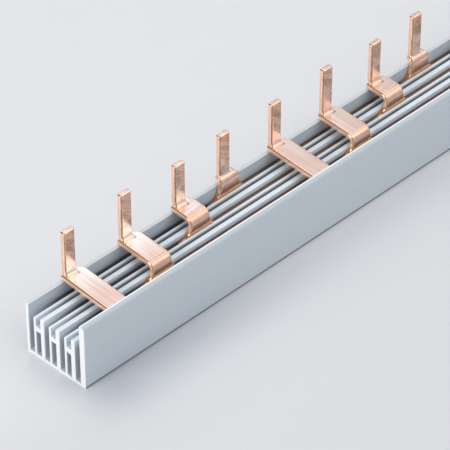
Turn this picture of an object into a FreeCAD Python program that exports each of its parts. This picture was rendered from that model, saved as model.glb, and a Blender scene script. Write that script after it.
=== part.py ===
"""Comb busbar: an insulating channel with four stamped and bent copper combs.

One pin per module stands above the low wall of the channel, and the pins belong to
the four combs in turn. The bar runs along X, the combs lie side by side along Y with
comb 1 beside the tall wall, and Z is up. The origin is the middle of the underside.
"""
import FreeCAD, Part
import math
import os

import Sketcher

os.makedirs("parts", exist_ok=True)
doc = FreeCAD.newDocument("comb_busbar")

# Driving sizes in millimetres, each with the alias that the formulas use
SIZES = [
    ("module_pitch", 17.8, "distance from one pin to the next"),
    ("pins_per_comb", 3, "pins that each comb carries"),
    ("end_margin", 11.5, "from an end of the channel to the nearest strap"),
    ("end_skew", 0.7, "how far the cut at the first end falls back at the tall wall"),
    ("tall_wall", 1.8, "thickness of the tall wall"),
    ("tall_height", 19.3, "height of the tall wall"),
    ("top_round", 0.9, "rounding along the outer top edge of the tall wall"),
    ("low_wall", 1.0, "thickness of the low wall"),
    ("low_height", 15.7, "height of the low wall"),
    ("floor_thickness", 0.8, "thickness of the channel's floor"),
    ("rib_leg", 0.8, "thickness of the lower leg of an H rib"),
    ("tall_leg", 1.35, "thickness of its taller leg, on the side of the tall wall"),
    ("rib_gap", 1.55, "width between the two legs of an H rib"),
    ("rib_height", 12.6, "height of the lower legs above the underside"),
    ("rib_step", 0.6, "how much higher the taller legs are"),
    ("groove_depth", 2.8, "from the top of a rib down to its web"),
    ("web_thickness", 1.4, "thickness of the web that joins the legs"),
    ("copper_thickness", 1.5, "thickness of the copper strip"),
    ("seat_play", 0.05, "free play between the copper and each side of its slot"),
    ("strip_drop", 0.9, "from the top of the lower legs down to the strips"),
    ("strip_lead", 0.5, "strip left standing beyond the outermost root"),
    ("strap_gap", 0.3, "air between the low wall and the straps above it"),
    ("strap_slope", 0.035, "how far a strap rises towards its pin, per millimetre"),
    ("bend_radius", 0.8, "inner radius of the bend from a plate to its strap"),
    ("pin_bend_radius", 1.4, "inner radius of the bend from a strap to its pin"),
    ("joggle_radius", 0.5, "inner radius of the S bend beside the low wall"),
    ("joggle_rise", 0.5, "how much higher the tabs with the S bend have their shoulders"),
    ("near_shoulder", 0.5, "strap beside the pin, on the side of the first end"),
    ("pin_width", 3.5, "width of a pin"),
    ("far_shoulder", 2.5, "strap beside the pin, on the other side"),
    ("pin_inset", 0.05, "from the outer face of the low wall back to the pins"),
    ("shoulder_inset", 0.2, "from the outer face of a pin back to the ends of its shoulders"),
    ("tip_chamfer", 0.25, "chamfer on the tip of a pin"),
    ("near_fillet", 0.45, "fillet between a pin and its near shoulder"),
    ("far_fillet", 0.6, "fillet between a pin and its far shoulder"),
    ("fillet_sink", 0.1, "how far below the top of a shoulder the fillets would end"),
    ("seat_shift_1", 0.0, "where comb 1 sits along the channel"),
    ("seat_shift_2", 1.0, "where comb 2 sits along the channel"),
    ("seat_shift_3", 1.5, "where comb 3 sits along the channel"),
    ("seat_shift_4", -0.7, "where comb 4 sits along the channel"),
    ("pin_length_1", 13.5, "pins of comb 1, from the top of the strap to the tip"),
    ("pin_length_2", 14.3, "pins of comb 2, from the top of the strap to the tip"),
    ("pin_length_3", 12.9, "pins of comb 3, from the top of the strap to the tip"),
    ("pin_length_4", 13.7, "pins of comb 4, from the top of the strap to the tip"),
]
COMBS = 4

sheet = doc.addObject("Spreadsheet::Sheet", "Sizes")
for row, (alias, value, meaning) in enumerate(SIZES, start=1):
    sheet.set("A%d" % row, alias)
    sheet.set("B%d" % row, str(value))
    sheet.set("C%d" % row, meaning)
    sheet.setAlias("B%d" % row, alias)
doc.recompute()


class Size:
    """A length that knows both its formula in the sheet and its present value."""

    def __init__(self, formula, value):
        self.formula = formula
        self.value = float(value)

    def join(self, sign, other, value):
        return Size("(%s %s %s)" % (self.formula, sign, other.formula), value)

    def __add__(self, other):
        other = size_of(other)
        return self.join("+", other, self.value + other.value)

    def __sub__(self, other):
        other = size_of(other)
        return self.join("-", other, self.value - other.value)

    def __mul__(self, other):
        other = size_of(other)
        return self.join("*", other, self.value * other.value)

    def __truediv__(self, other):
        other = size_of(other)
        return self.join("/", other, self.value / other.value)

    def root(self):
        return Size("sqrt(%s)" % self.formula, math.sqrt(self.value))


def size_of(item):
    if isinstance(item, Size):
        return item
    return Size(repr(item), item)


def cell(alias):
    return Size("Sizes." + alias, getattr(sheet, alias))


# Sizes that follow from the driving ones
pitch = cell("module_pitch")
copper = cell("copper_thickness")
slot = copper + cell("seat_play") * 2
rib = cell("rib_leg") + cell("tall_leg") + cell("rib_gap")
slot_pitch = slot + rib
width = cell("tall_wall") + slot * COMBS + rib * (COMBS - 1) + cell("low_wall")
strap_width = cell("near_shoulder") + cell("pin_width") + cell("far_shoulder")
comb_pitch = pitch * COMBS
pin_run = pitch * (cell("pins_per_comb") * COMBS - 1)
length = cell("end_margin") * 2 + strap_width + pin_run
floor_top = cell("floor_thickness")
rib_top = cell("rib_height")
leg_top = rib_top + cell("rib_step")
web_top = rib_top - cell("groove_depth")
web_bottom = web_top - cell("web_thickness")
strip_bottom = floor_top + cell("seat_play")
strip_top = rib_top - cell("strip_drop")
strap_bottom = cell("low_height") + cell("strap_gap")
strap_top = strap_bottom + copper
pin_front = width - cell("pin_inset") - copper
pin_back = width - cell("pin_inset")
shoulder_end = pin_back - cell("shoulder_inset")
inner = cell("bend_radius")
outer = inner + copper
tip = cell("tip_chamfer")
slope = cell("strap_slope")
one = Size("1", 1)
cosine = one / (one + slope * slope).root()
sine = slope * cosine
thick = copper / cosine
pin_inner = cell("pin_bend_radius")
pin_outer = pin_inner + copper
pin_bend = pin_front - pin_inner
bend_start = pin_bend + pin_outer * sine
bend_top = pin_bend + pin_inner * sine


def underside(across):
    """Height of a strap's underside at that place across the channel."""
    return strap_bottom - slope * (pin_back - across)


def lower_bend(plate):
    """Height at which the bend from a plate to its strap begins."""
    return underside(plate + outer - inner * sine) - inner * cosine


upper_bend = underside(bend_start) + pin_outer * cosine


def new_body(name):
    """A body whose corner sits half the length and width back from the origin."""
    body = doc.addObject("PartDesign::Body", name)
    body.Label = name
    body.setExpression("Placement.Base.x", "-%s / 2" % length.formula)
    body.setExpression("Placement.Base.y", "-%s / 2" % width.formula)
    return body


def new_sketch(body, name, role, offset=None):
    """A sketch on one of the body's own origin planes, moved along its normal."""
    plane = [item for item in body.Origin.OriginFeatures if item.Role == role][0]
    sketch = body.newObject("Sketcher::SketchObject", name)
    sketch.AttachmentSupport = [(plane, "")]
    sketch.MapMode = "FlatFace"
    if offset is not None:
        sketch.AttachmentOffset.Base.z = offset.value
        sketch.setExpression("AttachmentOffset.Base.z", offset.formula)
    return sketch


def add_outline(sketch, corners):
    """Draw a closed outline whose corners and arc radii follow the sheet.

    Each corner is (across, up) or (across, up, radius, turn): the radius then belongs
    to the arc that runs from this corner to the next, and turn is +1 where that arc
    turns to the left.
    """
    first = sketch.GeometryCount
    count = len(corners)
    spots = [FreeCAD.Vector(c[0].value, c[1].value, 0) for c in corners]
    starts = []
    for index, corner in enumerate(corners):
        here = spots[index]
        there = spots[(index + 1) % count]
        if len(corner) == 2:
            sketch.addGeometry(Part.LineSegment(here, there), False)
            starts.append((1, 2))
            continue
        radius, turn = corner[2], corner[3]
        half = (there - here) * 0.5
        rise = math.sqrt(max(radius.value ** 2 - half.Length ** 2, 0.0))
        side = FreeCAD.Vector(-half.y, half.x, 0).normalize() * turn
        centre = here + half + side * rise
        begin, end = (here, there) if turn > 0 else (there, here)
        angle_1 = math.atan2(begin.y - centre.y, begin.x - centre.x)
        angle_2 = math.atan2(end.y - centre.y, end.x - centre.x)
        circle = Part.Circle(centre, FreeCAD.Vector(0, 0, 1), radius.value)
        sketch.addGeometry(Part.ArcOfCircle(circle, angle_1, angle_2), False)
        starts.append((1, 2) if turn > 0 else (2, 1))
    for index in range(count):
        after = (index + 1) % count
        sketch.addConstraint(Sketcher.Constraint(
            "Coincident", first + index, starts[index][1], first + after, starts[after][0]))
    for index, corner in enumerate(corners):
        for kind, amount in (("DistanceX", corner[0]), ("DistanceY", corner[1])):
            bind(sketch, Sketcher.Constraint(
                kind, -1, 1, first + index, starts[index][0], amount.value), amount)
        if len(corner) > 2:
            bind(sketch, Sketcher.Constraint("Radius", first + index, corner[2].value), corner[2])


def bind(sketch, constraint, amount):
    place = sketch.addConstraint(constraint)
    sketch.setExpression("Constraints[%d]" % place, amount.formula)


def add_pad(body, name, sketch, amount):
    pad = body.newObject("PartDesign::Pad", name)
    pad.Profile = sketch
    pad.Length = amount.value
    pad.setExpression("Length", amount.formula)
    return pad


def add_pocket(body, name, sketch, amount=None):
    pocket = body.newObject("PartDesign::Pocket", name)
    pocket.Profile = sketch
    if amount is None:
        pocket.Type = "ThroughAll"
    else:
        pocket.Length = amount.value
        pocket.setExpression("Length", amount.formula)
    return pocket


# Channel: one extruded section with a low wall, a tall wall and three H ribs
def build_channel():
    body = new_body("channel_housing")
    sketch = new_sketch(body, "channel_section", "YZ_Plane")
    zero = Size("0", 0)
    tall = cell("tall_height")
    low = cell("low_height")
    top_round = cell("top_round")
    section = [
        (width, zero),
        (width, low),
        (width - cell("low_wall"), low),
        (width - cell("low_wall"), floor_top),
    ]
    for rib_number in range(COMBS - 1, 0, -1):
        right = cell("tall_wall") + slot_pitch * rib_number - rib
        left = right + rib
        section += [
            (left, floor_top),
            (left, rib_top),
            (left - cell("rib_leg"), rib_top),
            (left - cell("rib_leg"), web_top),
            (right + cell("tall_leg"), web_top),
            (right + cell("tall_leg"), leg_top),
            (right, leg_top),
            (right, floor_top),
        ]
    section += [
        (cell("tall_wall"), floor_top),
        (cell("tall_wall"), tall),
        (top_round, tall, top_round, 1),
        (zero, tall - top_round),
        (zero, zero),
    ]
    add_outline(sketch, section)
    for rib_number in range(1, COMBS):
        right = cell("tall_wall") + slot_pitch * rib_number - rib
        add_outline(sketch, [
            (right + cell("tall_leg"), floor_top),
            (right + rib - cell("rib_leg"), floor_top),
            (right + rib - cell("rib_leg"), web_bottom),
            (right + cell("tall_leg"), web_bottom),
        ])
    add_pad(body, "channel_extrusion", sketch, length)
    skew = cell("end_skew")
    sketch = new_sketch(body, "end_cut_outline", "XY_Plane", tall + 1)
    add_outline(sketch, [
        (zero - 1, zero - 1),
        (skew + skew / width, zero - 1),
        (zero - skew / width, width + 1),
        (zero - 1, width + 1),
    ])
    add_pocket(body, "end_cut", sketch)
    return body


# Section of a tab that crosses to the pin line: plate, bend, strap, bend, pin
def crossing_section(plate, pin_top):
    back = plate + copper
    bend = back + inner
    start = lower_bend(plate)
    return [
        (plate, strip_top - copper),
        (back, strip_top - copper),
        (back, start, inner, -1),
        (bend - inner * sine, start + inner * cosine),
        (bend_start, upper_bend - pin_outer * cosine, pin_outer, 1),
        (pin_back, upper_bend),
        (pin_back, pin_top - tip / 2),
        (pin_back - tip / 2, pin_top),
        (pin_front + tip / 2, pin_top),
        (pin_front, pin_top - tip / 2),
        (pin_front, upper_bend, pin_inner, -1),
        (bend_top, upper_bend - pin_inner * cosine),
        (bend - outer * sine, start + outer * cosine, outer, 1),
        (plate, start),
    ]


# Section of the tab next to the pin line: an S bend lifts it over the low wall
def joggled_section(plate, pin_top):
    back = plate + copper
    small = cell("joggle_radius")
    large = small + copper
    lean = one - (pin_front - plate) / (small + large)
    reach = (one - lean * lean).root()
    upper = strap_top + cell("joggle_rise") + small
    lower = upper - (small + large) * reach
    return [
        (plate, strip_top - copper),
        (back, strip_top - copper),
        (back, lower, small, -1),
        (back + small - small * lean, lower + small * reach, large, 1),
        (pin_back, upper),
        (pin_back, pin_top - tip / 2),
        (pin_back - tip / 2, pin_top),
        (pin_front + tip / 2, pin_top),
        (pin_front, pin_top - tip / 2),
        (pin_front, upper, small, -1),
        (pin_front - small + small * lean, upper - small * reach, large, 1),
        (plate, lower),
    ]


# Comb: a strip in its slot, and tabs that are bent across to the common pin line
def build_comb(number):
    body = new_body("copper_comb_%d" % number)
    name = body.Name
    plate = cell("tall_wall") + slot_pitch * (number - 1) + cell("seat_play")
    back = plate + copper
    beside_pins = number == COMBS
    near = cell("end_margin") + pitch * (number - 1) + cell("seat_shift_%d" % number)
    far = near + strap_width
    pin_near = near + cell("near_shoulder")
    pin_far = far - cell("far_shoulder")
    pin_top = strap_top + cell("pin_length_%d" % number)
    root = lower_bend(plate) - strip_top
    reach = root + cell("strip_lead")
    run = comb_pitch * (cell("pins_per_comb") - 1)

    sketch = new_sketch(body, name + "_strip_outline", "XZ_Plane", Size("0", 0) - back)
    add_outline(sketch, [
        (near - reach, strip_bottom),
        (far + reach + run, strip_bottom),
        (far + reach + run, strip_top),
        (near - reach, strip_top),
    ])
    add_pad(body, name + "_strip", sketch, copper)

    sketch = new_sketch(body, name + "_root_outline", "XZ_Plane", Size("0", 0) - back)
    add_outline(sketch, [
        (near - root, strip_top - copper),
        (far + root, strip_top - copper),
        (far + root, strip_top, root, -1),
        (far, strip_top + root),
        (near, strip_top + root, root, -1),
        (near - root, strip_top),
    ])
    roots = add_pad(body, name + "_root", sketch, copper)

    sketch = new_sketch(body, name + "_bend_section", "YZ_Plane", near)
    section = joggled_section if beside_pins else crossing_section
    add_outline(sketch, section(plate, pin_top))
    bends = add_pad(body, name + "_bent_tab", sketch, strap_width)

    level = strap_top + cell("joggle_rise") if beside_pins else upper_bend - pin_inner * cosine
    sink = cell("fillet_sink")
    near_round, far_round = cell("near_fillet"), cell("far_fillet")
    near_foot = near_round - (near_round * near_round - (near_round - sink) * (near_round - sink)).root()
    far_foot = far_round - (far_round * far_round - (far_round - sink) * (far_round - sink)).root()
    sketch = new_sketch(body, name + "_shoulder_outline", "XZ_Plane")
    add_outline(sketch, [
        (near - 1, level),
        (pin_near - near_foot, level, near_round, 1),
        (pin_near, level - sink + near_round),
        (pin_near, pin_top - tip),
        (pin_near + tip, pin_top),
        (pin_near + tip, pin_top + 1),
        (near - 1, pin_top + 1),
    ])
    if beside_pins:
        drop = cell("far_shoulder") * 0.6
        corner = [(far - drop, level, drop, -1), (far, level - drop), (far + 1, level - drop)]
    else:
        corner = [(far + 1, level)]
    add_outline(sketch, [
        (pin_far, level - sink + far_round, far_round, 1),
        (pin_far + far_foot, level),
    ] + corner + [
        (far + 1, pin_top + 1),
        (pin_far - tip, pin_top + 1),
        (pin_far - tip, pin_top),
        (pin_far, pin_top - tip),
    ])
    shoulders = add_pocket(body, name + "_shoulders", sketch)
    features = [roots, bends, shoulders]

    if not beside_pins:
        ends = ("near", near, cell("near_shoulder")), ("far", pin_far, cell("far_shoulder"))
        for side, start, amount in ends:
            sketch = new_sketch(body, name + "_%s_end_section" % side, "YZ_Plane", start)
            add_outline(sketch, [
                (bend_start, upper_bend - pin_outer * cosine),
                (shoulder_end, underside(shoulder_end)),
                (shoulder_end, underside(shoulder_end) + thick),
                (bend_top, upper_bend - pin_inner * cosine),
            ])
            features.append(add_pad(body, name + "_%s_end" % side, sketch, amount))
        turn = cell("far_shoulder")
        sketch = new_sketch(body, name + "_corner_outline", "XY_Plane", strap_top + copper)
        add_outline(sketch, [
            (far, shoulder_end - turn, turn, 1),
            (far - turn, shoulder_end),
            (far - turn, shoulder_end + 1),
            (far + 1, shoulder_end + 1),
            (far + 1, shoulder_end - turn),
        ])
        features.append(add_pocket(body, name + "_corner", sketch, copper * 3))

    pattern = body.newObject("PartDesign::LinearPattern", name + "_repeat")
    pattern.Originals = features
    axis = [item for item in body.Origin.OriginFeatures if item.Role == "X_Axis"][0]
    pattern.Direction = (axis, [""])
    pattern.Length = run.value
    pattern.setExpression("Length", run.formula)
    pattern.Occurrences = int(sheet.pins_per_comb)
    pattern.setExpression("Occurrences", "Sizes.pins_per_comb")
    body.Tip = pattern
    return body


bodies = [build_channel()]
for comb_number in range(1, COMBS + 1):
    bodies.append(build_comb(comb_number))
doc.recompute()

# Nothing is written unless every object is sound
for item in doc.Objects:
    if "Invalid" in item.State or "Error" in item.State:
        raise RuntimeError("%s does not compute" % item.Label)
    shape = getattr(item, "Shape", None)
    if shape is not None and not item.isDerivedFrom("App::OriginFeature"):
        if shape.isNull() or not shape.isValid():
            raise RuntimeError("%s has a faulty shape" % item.Label)
for body in bodies:
    if len(body.Shape.Solids) != 1:
        raise RuntimeError("%s is not one solid" % body.Label)
    body.Shape.exportStep("parts/%s.step" % body.Label)
    print(body.Label, "volume %.1f mm3" % body.Shape.Volume, body.Shape.BoundBox)
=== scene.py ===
"""Studio view of a comb busbar: a plastic channel with four copper combs.

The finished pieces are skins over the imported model. Each one starts as a merged copy of
its node, gets its edges rounded, and carries a procedural finish.
"""
import math

import bpy
from mathutils import Matrix, Vector


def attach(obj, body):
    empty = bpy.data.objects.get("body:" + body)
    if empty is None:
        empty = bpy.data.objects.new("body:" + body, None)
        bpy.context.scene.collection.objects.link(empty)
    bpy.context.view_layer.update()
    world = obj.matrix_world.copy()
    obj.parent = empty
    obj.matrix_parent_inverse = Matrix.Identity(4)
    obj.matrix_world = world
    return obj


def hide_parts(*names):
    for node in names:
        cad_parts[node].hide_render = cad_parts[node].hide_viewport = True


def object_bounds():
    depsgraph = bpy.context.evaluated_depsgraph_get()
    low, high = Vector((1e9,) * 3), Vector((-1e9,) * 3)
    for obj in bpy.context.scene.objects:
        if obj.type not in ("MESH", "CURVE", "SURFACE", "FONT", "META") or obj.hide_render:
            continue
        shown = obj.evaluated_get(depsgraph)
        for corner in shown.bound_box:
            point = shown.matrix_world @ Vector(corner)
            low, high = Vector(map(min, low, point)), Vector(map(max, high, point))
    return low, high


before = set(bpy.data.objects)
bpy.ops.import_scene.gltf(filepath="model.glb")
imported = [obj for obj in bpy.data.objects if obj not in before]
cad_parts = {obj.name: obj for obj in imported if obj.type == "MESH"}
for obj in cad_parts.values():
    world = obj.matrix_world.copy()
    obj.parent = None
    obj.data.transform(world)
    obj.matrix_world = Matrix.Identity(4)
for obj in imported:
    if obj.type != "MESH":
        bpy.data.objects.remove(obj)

CAD_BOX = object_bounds()
HALF_LENGTH, HALF_WIDTH = CAD_BOX[1][0], CAD_BOX[1][1]
COMBS = ("copper_comb_1", "copper_comb_2", "copper_comb_3", "copper_comb_4")
WAVY_COMB = "copper_comb_3"

bl_info = {
    "name": "Comb busbar",
    "version": (1, 0, 0),
    "blender": (4, 5, 0),
    "location": "View3D > Sidebar > Busbar",
    "description": "Finishes a comb busbar and sets it on a studio floor",
    "category": "Object",
}

# Rounding of the edges, in metres and radians
MERGE_DISTANCE = 1e-6
FLAT_ANGLE = math.radians(0.4)
NEEDLE_ANGLE = math.radians(25)
SMOOTH_ANGLE = math.radians(50)
CHANNEL_SHARP = math.radians(60)
COMB_SHARP = math.radians(50)
FACE_SHARE = 0.42      # the share of a face's width that the rounding may take
ROLLED_MORE = 2.0      # how many times wider a rolled edge is
TIP_DEPTH = 0.0003     # the chamfers at the tips are lower than this
BLADE_DEPTH = 0.004    # the part of a pin where its width is measured
PIN_GAP = 0.005        # two pins of a comb are further apart than this
ROLLED_SIDE = -0.95    # a rolled edge is beside a face that looks this squarely to -X
ROLLED_TOP = 0.7       # and beside a face whose Z minus Y facing is more than this

# Places of the finishes and of the painted light and shade, in metres. Each pair runs from no
# effect to the full effect.
SKIN_Y = (HALF_WIDTH - 0.0002, HALF_WIDTH - 0.0001)
CLEAR_OF_ENDS_X = (HALF_LENGTH - 0.0005, HALF_LENGTH - 0.014)
SLOT_MOUTH_Z = (0.0124, 0.0114)
SLOT_FLOOR_Z = (0.0002, 0.0006)
RIB_TOP_Z = (0.0118, 0.0122)
RIB_LIMIT_Z = (0.0145, 0.0140)
FLANK_Z = (0.0108, 0.0120)
FLANK_FAR_Y = (0.0089, 0.0088)
FLANK_NEAR_Y = (-0.0095, -0.0094)
WALL_TOP_Z = (0.0178, 0.0182)
WALL_TOP_Y = (-0.0080, -0.0084)
CREST_HIGHLIGHT_Y = (-0.0090, -0.00875)
WALL_FOOT_Z = (0.0008, 0.0004)
TARNISH_AND_SHADE_Z = (0.0128, 0.0112)
PAST_FIRST_PINS_X = (-0.085, -0.02)
SHEEN_NEAR_PINS_Y = (-0.004, 0.0085)
STREAKS_FADED_Y = (-0.001, 0.006)
WAVES_Z = (0.0195, 0.0185)
TIP_Z = (0.0295, 0.0300)
GLINT_FOOT_Z = (0.0172, 0.0180)
GLINT_TOP_Z = (0.0256, 0.0232)
GLINT_X = (0.0, -0.1)
GLINT_SLANT = 0.0045   # how much lower the glint ends on the far side of a pin
CROWN_Z = (0.0182, 0.0176)
LOW_LEGS_Z = (0.0158, 0.0134)
LEG_Z = (0.0195, 0.0178)
FLOOR_FRONT_Y = (0.012, -0.022)
SHADE_FRONT_Y = (-0.029, -0.0105)
SHADE_BACK_Y = (0.0, -0.009)
SHADE_NEAR_X = (-0.121, -0.103)
SHADE_FAR_X = (-0.02, -0.125)

# Facings, as one part of the face's normal. Each pair runs from no effect to the full effect.
SQUARE_ON = (0.6, 0.9)
LEVEL = (0.80, 0.99)
UPRIGHT = (0.5, 0.1)
TALL_WALL_SIDE = (-0.3, -0.8)
CREST_FACING = (0.05, 0.45)
WAVES_FACING = (0.4, 0.7)
LOW_LEGS_FACING = (-0.6, -0.9)
SHEARED_FACING = (-0.6, -0.9)
ROLLED_FACING = ((-0.25, -0.45), (-0.95, -0.82))    # a band: it comes in, then goes out
CROWN_FACING = ((-0.34, -0.42), (-0.58, -0.50))

# Strengths of the finishes and of the painted light and shade
PAINTED_SHADE, RIB_TOPS = 0.9, 0.6
WAVE_REFLECTIONS, CROWN, REFLECTION_GILT, LOW_LEGS_GILT = 0.8, 0.8, 0.95, 0.75
GLINT_FAR, GLINT_NEAR = 0.2, 0.9
FILM_LEAST, FILM_MOST = 0.02, 0.58
LEG_FILM, SHEARED_FILM = 0.35, 0.40
FLOOR_UNEVEN, FLOOR_FRONT_SHADE = 0.985, 0.89

# The camera and the lamps, in degrees, metres and millimetres of lens
CAMERA_TURN, CAMERA_LIFT = -44.68, 40.32
CAMERA_PLACE = (-0.46454, -0.41447, 0.50644)
CAMERA_LENS = 243.7
WARM_WHITE = (1.0, 0.99, 0.97)
WHITE = (1.0, 1.0, 1.0)
SKY_TINT = (0.96, 0.975, 1.0, 1.0)
FLOOR_Z = -0.00002     # just under the busbar
LAMPS = (  # name, place, aim, width and height, colour
    ("back_light", (0.225, 1.35, 1.3), (0.225, 1.35, 0.0), (1.65, 2.1), WARM_WHITE),
    ("far_light", (1.725, 1.35, 1.3), (1.725, 1.35, 0.0), (1.35, 2.1), WARM_WHITE),
    ("front_light", (0.9, -0.92, 1.3), (0.9, -0.92, 0.0), (3.0, 2.15), (1.0, 1.0, 0.99)),
    ("side_light", (1.0, -2.3, 0.75), (1.0, 0.0, 0.3), (3.2, 1.2), WHITE),
    ("end_light", (-1.6, 0.1, 0.65), (0.0, 0.0, 0.0), (1.0, 0.8), WHITE),
)


# Sizes and colours that a user would change
class BusbarChannelSettings(bpy.types.PropertyGroup):
    edge_round: bpy.props.FloatProperty(
        name="Edge rounding", description="Width of the rounding along the channel's edges",
        default=0.00022, min=0.0, max=0.0004, subtype="DISTANCE", unit="LENGTH", precision=5)
    plastic: bpy.props.FloatVectorProperty(
        name="Plastic", description="Colour of the extruded plastic",
        default=(0.61, 0.68, 0.74), min=0.0, max=1.0, subtype="COLOR")
    plastic_dark: bpy.props.FloatVectorProperty(
        name="Plastic shade", description="Darker tone of the faint lines and specks",
        default=(0.555, 0.62, 0.68), min=0.0, max=1.0, subtype="COLOR")
    # Also a painted highlight on the rounded edges
    cut: bpy.props.FloatVectorProperty(
        name="Cut face", description="Paler colour of the sawn ends and the rubbed edges",
        default=(0.81, 0.825, 0.83), min=0.0, max=1.0, subtype="COLOR")
    # Painted light on the rib tops
    rib_top_light: bpy.props.FloatVectorProperty(
        name="Rib tops", description="Pale colour of the tops of the ribs",
        default=(0.84, 0.92, 0.98), min=0.0, max=1.0, subtype="COLOR")
    # Painted light on the upper flanks of the ribs
    clean: bpy.props.FloatVectorProperty(
        name="Clean plastic", description="Lighter colour of the flanks of the ribs",
        default=(0.79, 0.88, 0.96), min=0.0, max=1.0, subtype="COLOR")
    # Painted highlight along the inner edge of the tall wall's rounded top
    crest_highlight: bpy.props.FloatVectorProperty(
        name="Worn edge", description="Near white of the worn edge on top of the tall wall",
        default=(0.92, 0.935, 0.95), min=0.0, max=1.0, subtype="COLOR")
    # Painted shade on the tall wall's rounded top
    crest_shade: bpy.props.FloatVectorProperty(
        name="Rounded top", description="Colour of the rounded top of the tall wall",
        default=(0.51, 0.57, 0.62), min=0.0, max=1.0, subtype="COLOR")
    # Painted shade in the depths of the slots and along the walls' foot
    depth: bpy.props.FloatVectorProperty(
        name="Slot depth", description="Colour of the dust in the slots and at the walls' foot",
        default=(0.11, 0.125, 0.13), min=0.0, max=1.0, subtype="COLOR")
    roughness: bpy.props.FloatProperty(
        name="Roughness", description="Roughness of the plastic",
        default=0.38, min=0.0, max=1.0, subtype="FACTOR")


class BusbarCombSettings(bpy.types.PropertyGroup):
    edge_round: bpy.props.FloatProperty(
        name="Edge rounding", description="Width of the rounding along the stamped edges",
        default=0.00030, min=0.0, max=0.0004, subtype="DISTANCE", unit="LENGTH", precision=5)
    copper: bpy.props.FloatVectorProperty(
        name="Copper", description="Colour of the bright rolled copper",
        default=(1.0, 0.64, 0.49), min=0.0, max=1.0, subtype="COLOR")
    # Painted sheen on the upward faces, brightest on the straps near the first pins
    painted_sheen: bpy.props.FloatVectorProperty(
        name="Burnished copper", description="Paler colour of the straps near the first pins",
        default=(1.0, 0.93, 0.90), min=0.0, max=1.0, subtype="COLOR")
    copper_dark: bpy.props.FloatVectorProperty(
        name="Copper shade", description="Colour of the duller streaks and the tips of the pins",
        default=(0.86, 0.53, 0.41), min=0.0, max=1.0, subtype="COLOR")
    # Painted sheen on the other upward faces
    painted_sheen_dim: bpy.props.FloatVectorProperty(
        name="Burnished shade", description="Pinker colour of the other upward faces",
        default=(0.80, 0.61, 0.56), min=0.0, max=1.0, subtype="COLOR")
    # The streaks on the upward faces take part in the painted sheen
    scored: bpy.props.FloatVectorProperty(
        name="Scored streaks", description="Colour of the fine streaks in the upward faces",
        default=(0.74, 0.53, 0.47), min=0.0, max=1.0, subtype="COLOR")
    # Painted reflections on the rolled edges, the crowns of the bends and the lower legs
    gilt_reflection: bpy.props.FloatVectorProperty(
        name="Golden copper", description="Golden brown of the rolled edges and the bends",
        default=(0.72, 0.36, 0.17), min=0.0, max=1.0, subtype="COLOR")
    glint: bpy.props.FloatVectorProperty(
        name="Glint", description="Cream colour low on the faces of the pins",
        default=(1.0, 0.90, 0.74), min=0.0, max=1.0, subtype="COLOR")
    # Tarnished copper together with painted shade on the strips in their slots
    tarnish_and_shade: bpy.props.FloatVectorProperty(
        name="Tarnished copper", description="Dark brown colour of the strips in their slots",
        default=(0.30, 0.14, 0.08), min=0.0, max=1.0, subtype="COLOR")
    # Partly real rubbing, partly a painted highlight on the rounded edges
    copper_edge: bpy.props.FloatVectorProperty(
        name="Copper edge", description="Colour of the rubbed edges",
        default=(0.98, 0.83, 0.73), min=0.0, max=1.0, subtype="COLOR")
    roughness: bpy.props.FloatProperty(
        name="Roughness", description="Roughness of the copper between its streaks",
        default=0.15, min=0.0, max=1.0, subtype="FACTOR")


class BusbarStudioSettings(bpy.types.PropertyGroup):
    floor: bpy.props.FloatVectorProperty(
        name="Floor", description="Colour of the studio floor",
        default=(0.74, 0.75, 0.78), min=0.0, max=1.0, subtype="COLOR")
    # Painted shadow of the busbar on the floor
    floor_shade: bpy.props.FloatVectorProperty(
        name="Floor shade", description="Bluer tone of the floor at the foot of the tall wall",
        default=(0.42, 0.45, 0.51), min=0.0, max=1.0, subtype="COLOR")
    floor_size: bpy.props.FloatProperty(
        name="Floor size", description="Side of the square studio floor",
        default=6.0, min=1.0, max=20.0, subtype="DISTANCE", unit="LENGTH")
    sky: bpy.props.FloatProperty(
        name="Sky", description="Strength of the even light from all round",
        default=0.25, min=0.0, max=3.0)
    back_light: bpy.props.FloatProperty(
        name="Back light", description="Brightness of the wide soft light above the far side",
        default=0.88, min=0.0, max=20.0)
    far_light: bpy.props.FloatProperty(
        name="Far light", description="Brightness of the dimmer end of that light",
        default=0.60, min=0.0, max=20.0)
    front_light: bpy.props.FloatProperty(
        name="Front light", description="Brightness of the wide soft light above the front",
        default=1.15, min=0.0, max=20.0)
    side_light: bpy.props.FloatProperty(
        name="Side light", description="Brightness of the low soft light facing the tall wall",
        default=0.58, min=0.0, max=20.0)
    end_light: bpy.props.FloatProperty(
        name="End light", description="Brightness of the soft light that faces the near end",
        default=8.0, min=0.0, max=20.0)


# Selection and mesh tools
def pick_only(piece):
    """Deselects everything else and makes the piece active."""
    bpy.ops.object.select_all(action="DESELECT")
    piece.select_set(True)
    bpy.context.view_layer.objects.active = piece


def join_faces(piece):
    """Merges the loose corners and joins the triangles of each flat face."""
    pick_only(piece)
    bpy.ops.object.mode_set(mode="EDIT")
    bpy.ops.mesh.select_all(action="SELECT")
    bpy.ops.mesh.remove_doubles(threshold=MERGE_DISTANCE)
    bpy.ops.mesh.dissolve_limited(angle_limit=FLAT_ANGLE, use_dissolve_boundaries=False)
    bpy.ops.object.mode_set(mode="OBJECT")


def pin_groups(piece, depth):
    """The vertices that are no deeper than that under the top, in one group for each pin."""
    top = max(vertex.co.z for vertex in piece.data.vertices)
    high = [vertex for vertex in piece.data.vertices if vertex.co.z > top - depth]
    high.sort(key=lambda vertex: vertex.co.x)
    groups = [[high[0]]]
    for before, vertex in zip(high, high[1:]):
        if vertex.co.x - before.co.x > PIN_GAP:
            groups.append([])
        groups[-1].append(vertex)
    return groups


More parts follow.
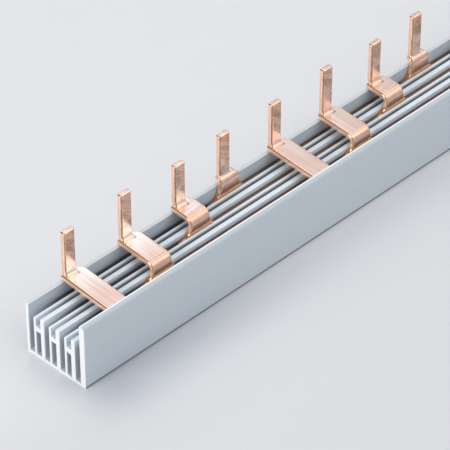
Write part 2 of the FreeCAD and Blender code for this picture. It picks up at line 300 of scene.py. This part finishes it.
def square_tips(piece):
    """Squares the small chamfers at the tips of the pins; the rounding takes their place."""
    top = max(vertex.co.z for vertex in piece.data.vertices)
    for group in pin_groups(piece, TIP_DEPTH):
        for axis in (0, 1):
            low = min(vertex.co[axis] for vertex in group)
            high = max(vertex.co[axis] for vertex in group)
            for vertex in group:
                nearer_low = vertex.co[axis] - low < high - vertex.co[axis]
                vertex.co[axis] = low if nearer_low else high
        for vertex in group:
            vertex.co.z = top
    join_faces(piece)


def merged_copy(node_name, piece_name):
    """A copy of a node with its loose triangles merged and its flat faces joined."""
    piece = bpy.data.objects.new(piece_name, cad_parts[node_name].data.copy())
    piece.data.name = piece_name
    bpy.context.scene.collection.objects.link(piece)
    pick_only(piece)
    if piece.data.has_custom_normals:
        bpy.ops.mesh.customdata_custom_splitnormals_clear()
    join_faces(piece)
    return piece


def mark_sharp_edges(mesh, angle, amount, rolled):
    """Gives the sharp edges a bevel weight: less on narrow faces, none beside needle corners.

    The edges that the stamping rolled over, on the side of the first end, get more.
    """
    sides, needles = {}, set()
    for face in mesh.polygons:
        spots = [mesh.vertices[index].co for index in face.vertices]
        keys = face.edge_keys
        for index, key in enumerate(keys):
            before = spots[index - 1] - spots[index]
            after = spots[(index + 1) % len(spots)] - spots[index]
            line = after.normalized()
            offsets = [spot - spots[index] for spot in spots]
            width = max((offset - line * offset.dot(line)).length for offset in offsets)
            sides.setdefault(key, []).append((face.normal.copy(), width))
            if before.angle(after) < NEEDLE_ANGLE:
                needles.update((key, keys[index - 1]))
    weights = mesh.attributes.new("bevel_weight_edge", "FLOAT", "EDGE")
    for edge in mesh.edges:
        pair = sides.get(edge.key, [])
        if len(pair) != 2 or edge.key in needles or pair[0][0].angle(pair[1][0]) < angle:
            continue
        most = 1.0
        for face, other in ((pair[0][0], pair[1][0]), (pair[1][0], pair[0][0])):
            if rolled and face.x < ROLLED_SIDE and other.z - other.y > ROLLED_TOP:
                most = ROLLED_MORE
        room = FACE_SHARE * min(pair[0][1], pair[1][1]) / amount
        weights.data[edge.index].value = min(most, room) / ROLLED_MORE


def round_edges(piece, amount, angle, rolled=False):
    """Rounds the sharp edges, keeps flat faces flat, and marks the rounded strips."""
    pick_only(piece)
    piece.data.materials.clear()
    piece.data.materials.append(None)
    piece.data.materials.append(None)
    for face in piece.data.polygons:
        face.material_index = 0
    low = [min(vertex.co[axis] for vertex in piece.data.vertices) for axis in range(3)]
    high = [max(vertex.co[axis] for vertex in piece.data.vertices) for axis in range(3)]
    mark_sharp_edges(piece.data, angle, amount, rolled)
    bevel = piece.modifiers.new("rounding", "BEVEL")
    bevel.width = ROLLED_MORE * amount
    bevel.segments = 3
    bevel.limit_method = "WEIGHT"
    bevel.use_clamp_overlap = False
    bevel.material = 1
    bpy.ops.object.modifier_apply(modifier=bevel.name)
    for vertex in piece.data.vertices:
        vertex.co = [min(max(vertex.co[axis], low[axis]), high[axis]) for axis in range(3)]
    rub = piece.data.attributes.new("rub", "FLOAT", "CORNER")
    for face in piece.data.polygons:
        for corner in face.loop_indices:
            rub.data[corner].value = float(face.material_index)
        face.material_index = 0
    piece.data.materials.clear()
    bpy.ops.object.shade_smooth_by_angle(angle=SMOOTH_ANGLE)
    weigh = piece.modifiers.new("flat_faces", "WEIGHTED_NORMAL")
    weigh.mode = "FACE_AREA"
    weigh.keep_sharp = True
    bpy.ops.object.modifier_apply(modifier=weigh.name)


def measure_across(piece, wavy):
    """Stores two measures at each vertex of a comb.

    "waves" says how much the press left waves along the straps. "across" says how far the
    vertex lies across its pin, from 0 on the side of the first end to 1.
    """
    waves = piece.data.attributes.new("waves", "FLOAT", "POINT")
    for vertex in piece.data.vertices:
        waves.data[vertex.index].value = wavy
    pins = [(group[0].co.x, group[-1].co.x) for group in pin_groups(piece, BLADE_DEPTH)]
    across = piece.data.attributes.new("across", "FLOAT", "POINT")
    for vertex in piece.data.vertices:
        low, high = min(pins, key=lambda pin: abs(vertex.co.x - (pin[0] + pin[1]) / 2))
        across.data[vertex.index].value = min(max((vertex.co.x - low) / (high - low), 0.0), 1.0)


# Shader groups that the materials share
def group_tree(name, inputs, outputs):
    """An empty node group with the sockets named; each socket is (name, kind, default)."""
    tree = bpy.data.node_groups.new(name, "ShaderNodeTree")
    for side, sockets in (("INPUT", inputs), ("OUTPUT", outputs)):
        for label, kind, default in sockets:
            socket = tree.interface.new_socket(name=label, in_out=side, socket_type=kind)
            if default is not None:
                socket.default_value = default
    return tree, tree.nodes.new("NodeGroupInput"), tree.nodes.new("NodeGroupOutput")


def streak_group():
    """Long fine lines: noise that is stretched by a different amount along each axis."""
    tree, given, made = group_tree(
        "drawn_streaks",
        [("Vector", "NodeSocketVector", None), ("Stretch", "NodeSocketVector", (1.0, 1.0, 1.0)),
         ("Low", "NodeSocketFloat", 0.35), ("High", "NodeSocketFloat", 0.65)],
        [("Mask", "NodeSocketFloat", None)])
    scale = tree.nodes.new("ShaderNodeVectorMath")
    scale.operation = "MULTIPLY"
    noise = tree.nodes.new("ShaderNodeTexNoise")
    noise.inputs["Scale"].default_value = 1.0
    noise.inputs["Detail"].default_value = 4.0
    noise.inputs["Roughness"].default_value = 0.6
    spread = tree.nodes.new("ShaderNodeMapRange")
    tree.links.new(given.outputs["Vector"], scale.inputs[0])
    tree.links.new(given.outputs["Stretch"], scale.inputs[1])
    tree.links.new(scale.outputs[0], noise.inputs["Vector"])
    tree.links.new(noise.outputs["Fac"], spread.inputs["Value"])
    tree.links.new(given.outputs["Low"], spread.inputs["From Min"])
    tree.links.new(given.outputs["High"], spread.inputs["From Max"])
    tree.links.new(spread.outputs["Result"], made.inputs["Mask"])
    return tree


def speck_group():
    """Small scattered specks on a fine even grain."""
    tree, given, made = group_tree(
        "fine_specks",
        [("Vector", "NodeSocketVector", None), ("Scale", "NodeSocketFloat", 1000.0),
         ("Amount", "NodeSocketFloat", 0.5)],
        [("Mask", "NodeSocketFloat", None), ("Grain", "NodeSocketFloat", None)])
    noise = tree.nodes.new("ShaderNodeTexNoise")
    noise.inputs["Detail"].default_value = 2.0
    spread = tree.nodes.new("ShaderNodeMapRange")
    spread.inputs["From Min"].default_value = 0.60
    spread.inputs["From Max"].default_value = 0.74
    tree.links.new(given.outputs["Vector"], noise.inputs["Vector"])
    tree.links.new(given.outputs["Scale"], noise.inputs["Scale"])
    tree.links.new(noise.outputs["Fac"], spread.inputs["Value"])
    mask = product(tree, spread.outputs["Result"], given.outputs["Amount"])
    tree.links.new(mask, made.inputs["Mask"])
    tree.links.new(noise.outputs["Fac"], made.inputs["Grain"])
    return tree


def rub_and_highlight_group():
    """Uneven rubbing on the rounded strips, which the attribute marks; the materials also paint a
    highlight with it.
    """
    tree, given, made = group_tree(
        "rubbed_and_lit_edges",
        [("Vector", "NodeSocketVector", None), ("Edge", "NodeSocketFloat", 0.0),
         ("Scale", "NodeSocketFloat", 300.0), ("Amount", "NodeSocketFloat", 0.6)],
        [("Mask", "NodeSocketFloat", None)])
    noise = tree.nodes.new("ShaderNodeTexNoise")
    noise.inputs["Detail"].default_value = 3.0
    spread = tree.nodes.new("ShaderNodeMapRange")
    spread.inputs["From Min"].default_value = 0.3
    spread.inputs["From Max"].default_value = 0.6
    spread.inputs["To Min"].default_value = 0.3
    tree.links.new(given.outputs["Vector"], noise.inputs["Vector"])
    tree.links.new(given.outputs["Scale"], noise.inputs["Scale"])
    tree.links.new(noise.outputs["Fac"], spread.inputs["Value"])
    mask = product(tree, spread.outputs["Result"], given.outputs["Edge"],
                   given.outputs["Amount"])
    tree.links.new(mask, made.inputs["Mask"])
    return tree


def shared(name):
    """The shared group of that name, built at its first use."""
    makers = {"drawn_streaks": streak_group, "fine_specks": speck_group,
              "rubbed_and_lit_edges": rub_and_highlight_group}
    return bpy.data.node_groups.get(name) or makers[name]()


# Steps that the materials are made of
def place_group(tree, name, vector, **values):
    """Puts a shared group into a material, with its coordinates linked and its values set."""
    node = tree.nodes.new("ShaderNodeGroup")
    node.node_tree = shared(name)
    tree.links.new(vector, node.inputs["Vector"])
    for label, value in values.items():
        node.inputs[label].default_value = value
    return node


def blend_colours(tree, mask, low, high):
    """A colour between two others, by a mask. Each colour is a value or a socket."""
    mix = tree.nodes.new("ShaderNodeMix")
    mix.data_type = "RGBA"
    tree.links.new(mask, mix.inputs[0])
    for index, colour in ((6, low), (7, high)):
        if isinstance(colour, bpy.types.NodeSocket):
            tree.links.new(colour, mix.inputs[index])
        else:
            mix.inputs[index].default_value = (*colour, 1.0)
    return mix.outputs[2]


def blend_numbers(tree, mask, low, high):
    """A number between two others, by a mask."""
    spread = tree.nodes.new("ShaderNodeMapRange")
    spread.inputs["To Min"].default_value = low
    spread.inputs["To Max"].default_value = high
    tree.links.new(mask, spread.inputs["Value"])
    return spread.outputs["Result"]


def number(tree, operation, first, second=None):
    """A sum on sockets or values."""
    node = tree.nodes.new("ShaderNodeMath")
    node.operation = operation
    for index, item in enumerate((first, second)):
        if isinstance(item, bpy.types.NodeSocket):
            tree.links.new(item, node.inputs[index])
        elif item is not None:
            node.inputs[index].default_value = item
    return node.outputs[0]


def product(tree, first, *others):
    """All the sockets or values multiplied, one after the other."""
    for other in others:
        first = number(tree, "MULTIPLY", first, other)
    return first


def rise(tree, socket, start, end):
    """A soft step from 0 at the start to 1 at the end."""
    spread = tree.nodes.new("ShaderNodeMapRange")
    spread.interpolation_type = "SMOOTHSTEP"
    if start > end:
        start, end = end, start
        spread.inputs["To Min"].default_value = 1.0
        spread.inputs["To Max"].default_value = 0.0
    spread.inputs["From Min"].default_value = start
    spread.inputs["From Max"].default_value = end
    tree.links.new(socket, spread.inputs["Value"])
    return spread.outputs["Result"]


def band(tree, socket, near, far):
    """A soft band that comes in over one pair of values and goes out over the other."""
    return product(tree, rise(tree, socket, *near), rise(tree, socket, *far))


def measured(tree, name):
    """The value of a mesh attribute."""
    node = tree.nodes.new("ShaderNodeAttribute")
    node.attribute_name = name
    return node.outputs["Fac"]


def axes(tree, vector):
    """The three parts of a vector."""
    split = tree.nodes.new("ShaderNodeSeparateXYZ")
    tree.links.new(vector, split.inputs[0])
    return split.outputs["X"], split.outputs["Y"], split.outputs["Z"]


def facings(tree):
    """The three parts of the normal, which say where a face looks."""
    return axes(tree, tree.nodes.new("ShaderNodeNewGeometry").outputs["Normal"])


def new_material(name):
    """A material with its tree, its shader and the coordinates on the piece."""
    material = bpy.data.materials.new(name)
    material.use_nodes = True
    tree = material.node_tree
    place = tree.nodes.new("ShaderNodeTexCoord").outputs["Object"]
    return material, tree, tree.nodes["Principled BSDF"], place


def rub_and_highlight_mask(tree, place, scale, amount):
    """Where the rounded strips show rubbing and a painted highlight."""
    rubbed_and_lit = place_group(tree, "rubbed_and_lit_edges", place, Scale=scale, Amount=amount)
    tree.links.new(measured(tree, "rub"), rubbed_and_lit.inputs["Edge"])
    return rubbed_and_lit.outputs["Mask"]


def add_bump(tree, height, distance, strength, under=None):
    """Small relief on the surface, over the relief given as under."""
    bump = tree.nodes.new("ShaderNodeBump")
    bump.inputs["Distance"].default_value = distance
    if isinstance(strength, bpy.types.NodeSocket):
        tree.links.new(strength, bump.inputs["Strength"])
    else:
        bump.inputs["Strength"].default_value = strength
    tree.links.new(height, bump.inputs["Height"])
    if under is not None:
        tree.links.new(under, bump.inputs["Normal"])
    return bump.outputs["Normal"]


def channel_material(settings):
    """Matte extruded plastic with faint drawn lines, specks, pale sawn ends and edges with
    rubbing, plus painted shade in the slots, at the walls' foot and on the wall's rounded top,
    and painted light on the rib tops, the flanks, the wall's inner edge and the rounded edges.
    """
    material, tree, shader, place = new_material("channel_plastic")
    lines = place_group(tree, "drawn_streaks", place, Stretch=(6.0, 1300.0, 1300.0),
                        Low=0.4, High=0.9).outputs["Mask"]
    specks = place_group(tree, "fine_specks", place, Scale=900.0, Amount=0.6).outputs["Mask"]
    grain = place_group(tree, "fine_specks", place, Scale=3500.0, Amount=1.0).outputs["Grain"]
    rubbed_and_lit = rub_and_highlight_mask(tree, place, scale=220.0, amount=0.9)
    x, y, z = axes(tree, place)
    facing_x, facing_y, facing_z = facings(tree)

    # Masks by place and facing
    from_middle = number(tree, "ABSOLUTE", y)
    outside = rise(tree, from_middle, *SKIN_Y)
    inside = rise(tree, from_middle, *SKIN_Y[::-1])
    off_the_ends = rise(tree, number(tree, "ABSOLUTE", x), *CLEAR_OF_ENDS_X)
    ends = rise(tree, number(tree, "ABSOLUTE", facing_x), *SQUARE_ON)
    # Painted shade deep in the slots and along the foot of the walls
    deep = product(tree, inside, rise(tree, z, *SLOT_MOUTH_Z), rise(tree, z, *SLOT_FLOOR_Z),
                   off_the_ends)
    foot = product(tree, outside, rise(tree, z, *WALL_FOOT_Z))
    dulled = product(tree, number(tree, "ADD", deep, foot), PAINTED_SHADE)
    # Painted light on the rib tops
    tops = product(tree, inside, rise(tree, facing_z, *SQUARE_ON), rise(tree, z, *RIB_TOP_Z),
                   rise(tree, z, *RIB_LIMIT_Z), RIB_TOPS)
    # Painted light on the upper flanks of the ribs
    flanks = product(tree, rise(tree, number(tree, "ABSOLUTE", facing_y), *SQUARE_ON),
                     rise(tree, y, *FLANK_FAR_Y), rise(tree, y, *FLANK_NEAR_Y),
                     rise(tree, z, *FLANK_Z))
    # Painted shade on the tall wall's rounded top
    crest_shade = product(tree, rise(tree, y, *WALL_TOP_Y), rise(tree, z, *WALL_TOP_Z),
                    rise(tree, facing_z, *CREST_FACING))
    # Painted highlight along the inner edge of that top
    crest_highlight = product(tree, crest_shade, rise(tree, y, *CREST_HIGHLIGHT_Y))

    colour = blend_colours(tree, lines, settings.plastic, settings.plastic_dark)
    # The rounded edges get a paler tone that is partly a painted highlight
    for mask, tone in ((specks, settings.plastic_dark), (rubbed_and_lit, settings.cut),
                       (crest_shade, settings.crest_shade), (crest_highlight, settings.crest_highlight),
                       (flanks, settings.clean), (tops, settings.rib_top_light),
                       (dulled, settings.depth), (ends, settings.cut)):
        colour = blend_colours(tree, mask, colour, tone)
    tree.links.new(colour, shader.inputs["Base Color"])
    rough = blend_numbers(tree, grain, settings.roughness - 0.06, settings.roughness + 0.10)
    tree.links.new(rough, shader.inputs["Roughness"])
    normal = add_bump(tree, grain, distance=0.00003, strength=0.35)
    normal = add_bump(tree, lines, distance=0.00002, strength=0.12, under=normal)
    tree.links.new(normal, shader.inputs["Normal"])
    return material


def copper_material(settings):
    """Bright rolled copper: streaked straps and mottled pins, with a painted sheen on the upward
    faces, painted golden reflections on the bends and edges, painted reflection bands on comb 3,
    a painted highlight on the rubbing of the edges and painted shade in the slots.
    """
    material, tree, shader, place = new_material("comb_copper")
    streaks = place_group(tree, "drawn_streaks", place, Stretch=(1100.0, 60.0, 90.0),
                          Low=0.40, High=0.70).outputs["Mask"]
    broad = place_group(tree, "drawn_streaks", place, Stretch=(520.0, 160.0, 260.0),
                        Low=0.35, High=0.65).outputs["Mask"]
    bands = place_group(tree, "drawn_streaks", place, Stretch=(50.0, 950.0, 60.0),
                        Low=0.44, High=0.58).outputs["Mask"]
    turned = tree.nodes.new("ShaderNodeMapping")
    turned.inputs["Rotation"].default_value = (0.0, math.radians(-40.0), 0.0)
    tree.links.new(place, turned.inputs["Vector"])
    film = place_group(tree, "drawn_streaks", turned.outputs[0], Stretch=(100.0, 160.0, 460.0),
                       Low=0.43, High=0.58).outputs["Mask"]
    grain = place_group(tree, "fine_specks", place, Scale=4200.0, Amount=1.0).outputs["Grain"]
    rubbed_and_lit = rub_and_highlight_mask(tree, place, scale=500.0, amount=0.8)
    x, y, z = axes(tree, place)
    facing_x, facing_y, facing_z = facings(tree)
    across = measured(tree, "across")
    level = rise(tree, facing_z, *LEVEL)
    upright = rise(tree, facing_z, *UPRIGHT)
    wall_side = rise(tree, facing_y, *TALL_WALL_SIDE)

    # Streaked copper; the upward faces get a painted sheen, palest on the straps near the first
    # pins, where the streaks fade under it
    first = blend_numbers(tree, rise(tree, x, *PAST_FIRST_PINS_X), 1.0, 0.35)
    sheen_near_pins = product(tree, first, rise(tree, y, *SHEEN_NEAR_PINS_Y))
    painted_sheen = blend_colours(tree, sheen_near_pins, settings.painted_sheen_dim, settings.painted_sheen)
    bright = blend_colours(tree, level, settings.copper, painted_sheen)
    dull = blend_colours(tree, level, settings.copper_dark, settings.scored)
    streaks_faded = product(tree, level, rise(tree, y, *STREAKS_FADED_Y), first)
    lines = product(tree, streaks, blend_numbers(tree, streaks_faded, 1.0, 0.25))
    colour = blend_colours(tree, lines, bright, dull)

    # Painted reflections of the press waves on comb 3, browner tips, and edges that show rubbing
    # with a painted highlight
    wave_reflections = product(tree, measured(tree, "waves"), rise(tree, facing_z, *WAVES_FACING),
                      rise(tree, z, *WAVES_Z), product(tree, bands, WAVE_REFLECTIONS))
    colour = blend_colours(tree, wave_reflections, colour, settings.copper_dark)
    tips = product(tree, level, rise(tree, z, *TIP_Z), blend_numbers(tree, broad, 0.3, 0.9))
    colour = blend_colours(tree, tips, colour, settings.copper_dark)
    colour = blend_colours(tree, rubbed_and_lit, colour, settings.copper_edge)

    # Glint low on the faces of the pins, with a slanting upper edge
    climb = number(tree, "ADD", z, product(tree, across, GLINT_SLANT))
    glow = product(tree, wall_side, rise(tree, z, *GLINT_FOOT_Z), rise(tree, climb, *GLINT_TOP_Z),
                   blend_numbers(tree, rise(tree, x, *GLINT_X), GLINT_FAR, GLINT_NEAR))
    glint = blend_colours(tree, across, settings.glint, settings.copper_edge)
    colour = blend_colours(tree, glow, colour, glint)

    # Golden painted reflections on the rolled edges, the crowns of the bends and the lower legs,
    # then tarnished copper with painted shade in the slots
    rolled = band(tree, facing_x, *ROLLED_FACING)
    crown = product(tree, band(tree, facing_y, *CROWN_FACING), rise(tree, z, *CROWN_Z), CROWN)
    low_legs_gilt = product(tree, rise(tree, facing_y, *LOW_LEGS_FACING), rise(tree, z, *LOW_LEGS_Z), LOW_LEGS_GILT)
    golden_reflections = product(tree, number(tree, "MAXIMUM", rolled, crown), REFLECTION_GILT)
    golden_reflections = number(tree, "MAXIMUM", golden_reflections, low_legs_gilt)
    colour = blend_colours(tree, golden_reflections, colour, settings.gilt_reflection)
    # Tarnished copper with painted shade on the strips in their slots
    colour = blend_colours(tree, rise(tree, z, *TARNISH_AND_SHADE_Z), colour, settings.tarnish_and_shade)
    tree.links.new(colour, shader.inputs["Base Color"])

    # The film on the pins, the legs and the sheared sides shine less like metal
    blades = product(tree, wall_side, rise(tree, z, *LEG_Z[::-1]))
    dulled = product(tree, blades, blend_numbers(tree, film, FILM_LEAST, FILM_MOST))
    legs = product(tree, wall_side, rise(tree, z, *LEG_Z), LEG_FILM)
    sheared = product(tree, rise(tree, facing_x, *SHEARED_FACING), SHEARED_FILM)
    dulled = number(tree, "ADD", number(tree, "ADD", dulled, legs), sheared)
    tree.links.new(number(tree, "SUBTRACT", 1.0, dulled), shader.inputs["Metallic"])

    rough = blend_numbers(tree, streaks, settings.roughness, settings.roughness + 0.10)
    rough = number(tree, "ADD", rough, product(tree, upright, -0.03))
    tree.links.new(rough, shader.inputs["Roughness"])
    normal = add_bump(tree, broad, distance=0.00008,
                      strength=blend_numbers(tree, upright, 0.15, 0.4))
    normal = add_bump(tree, streaks, distance=0.00001,
                      strength=blend_numbers(tree, upright, 0.2, 0.05), under=normal)
    normal = add_bump(tree, grain, distance=0.00001, strength=0.08, under=normal)
    tree.links.new(normal, shader.inputs["Normal"])
    return material


def floor_material(settings):
    """Pale satin sheet, barely uneven, with painted shade in front and a bluer painted shadow
    beside the tall wall.
    """
    material, tree, shader, place = new_material("studio_floor")
    grain = place_group(tree, "fine_specks", place, Scale=60.0, Amount=1.0).outputs["Grain"]
    x, y, _ = axes(tree, place)
    uneven = tuple(FLOOR_UNEVEN * part for part in settings.floor)
    # Painted shade over the floor in front, and a bluer painted shadow beside the tall wall
    front_shade = tuple(FLOOR_FRONT_SHADE * part for part in settings.floor)
    shade = product(tree, rise(tree, y, *SHADE_FRONT_Y), rise(tree, x, *SHADE_FAR_X),
                    rise(tree, x, *SHADE_NEAR_X), rise(tree, y, *SHADE_BACK_Y))
    colour = blend_colours(tree, grain, settings.floor, uneven)
    colour = blend_colours(tree, rise(tree, y, *FLOOR_FRONT_Y), colour, front_shade)
    colour = blend_colours(tree, shade, colour, settings.floor_shade)
    tree.links.new(colour, shader.inputs["Base Color"])
    rough = blend_numbers(tree, grain, 0.30, 0.36)
    tree.links.new(rough, shader.inputs["Roughness"])
    return material


# Operators
class BUSBAR_OT_channel(bpy.types.Operator):
    """Make the channel's skin, with rounded edges and the plastic finish"""
    bl_idname = "busbar.channel"
    bl_label = "Channel"

    def execute(self, context):
        settings = context.scene.busbar_channel
        piece = merged_copy("channel_housing", "channel_skin")
        round_edges(piece, settings.edge_round, CHANNEL_SHARP)
        piece.data.materials.append(channel_material(settings))
        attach(piece, "root")
        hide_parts("channel_housing")
        return {"FINISHED"}


class BUSBAR_OT_combs(bpy.types.Operator):
    """Make the skins of the four combs, with rounded edges and the copper finish"""
    bl_idname = "busbar.combs"
    bl_label = "Combs"

    def execute(self, context):
        settings = context.scene.busbar_comb
        copper = copper_material(settings)
        for node_name in COMBS:
            piece = merged_copy(node_name, node_name + "_skin")
            square_tips(piece)
            round_edges(piece, settings.edge_round, COMB_SHARP, rolled=True)
            measure_across(piece, 1.0 if node_name == WAVY_COMB else 0.0)
            piece.data.materials.append(copper)
            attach(piece, "root")
            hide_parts(node_name)
        return {"FINISHED"}


def add_soft_light(name, place, aim, side, brightness, colour):
    """A rectangular lamp that looks as bright as a wall of that brightness."""
    bpy.ops.object.select_all(action="DESELECT")
    bpy.ops.object.light_add(type="AREA", location=place)
    lamp = bpy.context.object
    lamp.name = name
    lamp.data.shape = "RECTANGLE"
    lamp.data.size, lamp.data.size_y = side
    lamp.data.energy = math.pi * side[0] * side[1] * brightness
    lamp.data.color = colour
    lamp.rotation_euler = (Vector(aim) - Vector(place)).to_track_quat("-Z", "Y").to_euler()


class BUSBAR_OT_stage(bpy.types.Operator):
    """Lay the studio floor and set the soft lights"""
    bl_idname = "busbar.stage"
    bl_label = "Stage"

    def execute(self, context):
        settings = context.scene.busbar_studio
        bpy.ops.object.select_all(action="DESELECT")
        bpy.ops.mesh.primitive_plane_add(size=settings.floor_size, location=(0.0, 0.0, FLOOR_Z))
        floor = context.object
        floor.name = "studio_floor"
        bpy.ops.object.transform_apply(location=True)
        floor.data.materials.append(floor_material(settings))
        for name, place, aim, side, colour in LAMPS:
            add_soft_light(name, place, aim, side, getattr(settings, name), colour)
        world = bpy.data.worlds.new("studio_sky")
        world.use_nodes = True
        sky = world.node_tree.nodes["Background"]
        sky.inputs["Color"].default_value = SKY_TINT
        sky.inputs["Strength"].default_value = settings.sky
        context.scene.world = world
        context.scene.view_settings.view_transform = "Standard"
        return {"FINISHED"}


class BUSBAR_OT_camera(bpy.types.Operator):
    """Set the camera above the near end, on the side of the tall wall"""
    bl_idname = "busbar.camera"
    bl_label = "Camera"

    def execute(self, context):
        turn, lift = math.radians(CAMERA_TURN), math.radians(CAMERA_LIFT)
        right = Vector((math.cos(turn), math.sin(turn), 0.0))
        back = Vector((math.sin(turn) * math.cos(lift), -math.cos(turn) * math.cos(lift),
                       math.sin(lift)))
        place = Matrix((right, back.cross(right), back)).transposed().to_4x4()
        place.translation = Vector(CAMERA_PLACE)
        bpy.ops.object.select_all(action="DESELECT")
        bpy.ops.object.camera_add()
        camera = context.object
        camera.name = "studio_camera"
        camera.matrix_world = place
        camera.data.lens = CAMERA_LENS
        camera.data.sensor_width = 36.0
        camera.data.clip_start = 0.01
        context.scene.camera = camera
        return {"FINISHED"}


class BUSBAR_PT_panel(bpy.types.Panel):
    """Lists the steps that finish the busbar"""
    bl_idname = "BUSBAR_PT_panel"
    bl_label = "Comb busbar"
    bl_space_type = "VIEW_3D"
    bl_region_type = "UI"
    bl_category = "Busbar"

    def draw(self, context):
        for kind, owner in ((BUSBAR_OT_channel, context.scene.busbar_channel),
                            (BUSBAR_OT_combs, context.scene.busbar_comb),
                            (BUSBAR_OT_stage, context.scene.busbar_studio)):
            box = self.layout.box()
            for name in owner.__annotations__:
                box.prop(owner, name)
            box.operator(kind.bl_idname)
        self.layout.operator(BUSBAR_OT_camera.bl_idname)


SETTINGS = (
    ("busbar_channel", BusbarChannelSettings),
    ("busbar_comb", BusbarCombSettings),
    ("busbar_studio", BusbarStudioSettings),
)
STEPS = (BUSBAR_OT_camera, BUSBAR_OT_channel, BUSBAR_OT_combs, BUSBAR_OT_stage)


def register():
    for name, kind in SETTINGS:
        bpy.utils.register_class(kind)
        setattr(bpy.types.Scene, name, bpy.props.PointerProperty(type=kind))
    for kind in STEPS + (BUSBAR_PT_panel,):
        bpy.utils.register_class(kind)


def unregister():
    for kind in (BUSBAR_PT_panel,) + STEPS[::-1]:
        bpy.utils.unregister_class(kind)
    for name, kind in SETTINGS[::-1]:
        delattr(bpy.types.Scene, name)
        bpy.utils.unregister_class(kind)


def main():
    register()
    bpy.ops.busbar.camera()
    bpy.ops.busbar.channel()
    bpy.ops.busbar.combs()
    bpy.ops.busbar.stage()


if __name__ == "__main__":
    main()
